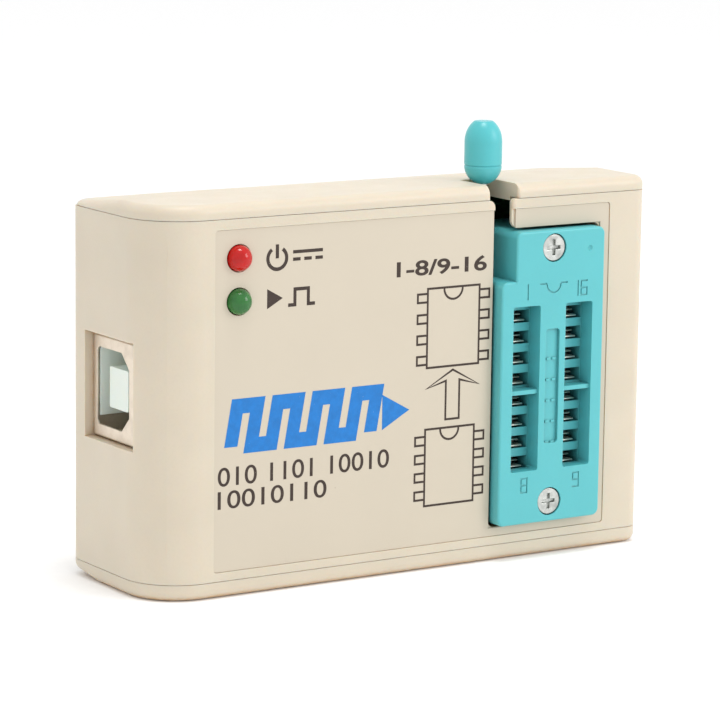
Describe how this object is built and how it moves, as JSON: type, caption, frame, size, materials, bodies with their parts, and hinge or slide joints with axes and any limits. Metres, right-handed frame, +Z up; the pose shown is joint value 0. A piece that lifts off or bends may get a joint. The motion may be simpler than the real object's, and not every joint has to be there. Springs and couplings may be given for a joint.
{
  "type": "usb chip programmer",
  "caption": "Upright plastic case with a lever-operated chip socket and two indicator lights on its front and a square USB port in its end.",
  "frame": {"origin": "middle of the case's underside, half way along its length and half way through its depth", "axes": "+X along the case away from the USB port, -Y out of the labelled front, +Z up towards the lever's knob"},
  "size_m": [0.0684, 0.0218, 0.0525],
  "materials": {
    "case_plastic": "fine satin moulding texture",
    "label": "smooth printed film",
    "socket_plastic": "satin teal moulding",
    "knob_plastic": "satin teal moulding",
    "slider_plastic": "satin black",
    "contact_metal": "bright tin plating",
    "gold_contact": "thin gold plating",
    "screw_steel": "nickel plated",
    "shell_metal": "pressed and plated",
    "port_plastic": "smooth",
    "red_lens": "diffusing epoxy",
    "green_lens": "diffusing epoxy",
    "board": "solder mask",
    "chip_black": "moulded epoxy",
    "ceramic": "fired ceramic",
    "can_metal": "drawn can",
    "rubber": "soft matt pads"
  },
  "bodies": {
    "case": {"back_shell": "case_plastic", "front_cover": "case_plastic", "label_film": "label", "case_screws": "screw_steel", "circuit_board": "board", "power_led": "red_lens", "run_led": "green_lens", "usb_shell": "shell_metal", "usb_insulator": "port_plastic", "usb_contacts": "gold_contact", "microcontroller": "chip_black", "microcontroller_leads": "contact_metal", "crystal": "can_metal", "voltage_regulator": "chip_black", "electrolytic_capacitors": "can_metal", "chip_capacitors": "ceramic", "chip_resistors": "chip_black", "transistors": "chip_black", "riser_strips": "chip_black", "socket_base": "socket_plastic", "socket_contacts": "contact_metal", "socket_cover": "socket_plastic", "socket_screws": "screw_steel", "floor_pads": "rubber"},
    "lever": {"lever_arm": "screw_steel", "lever_knob": "knob_plastic"},
    "slider": {"socket_slider": "slider_plastic"}
  },
  "joints": [
    {"name": "lever_hinge", "type": "hinge", "parent": "case", "child": "lever", "pos_m": [0.01948, -0.00555, 0.03485], "axis": [1, 0, 0], "range_deg": [0, 90]},
    {"name": "slider_slide", "type": "slide", "parent": "case", "child": "slider", "axis": [0, 0, -1], "range_m": [0, 0.0008]}
  ],
  "couplings": [
    {"joint": "lever_hinge", "follows": "slider_slide", "rad_per_m": 1963.5}
  ]
}
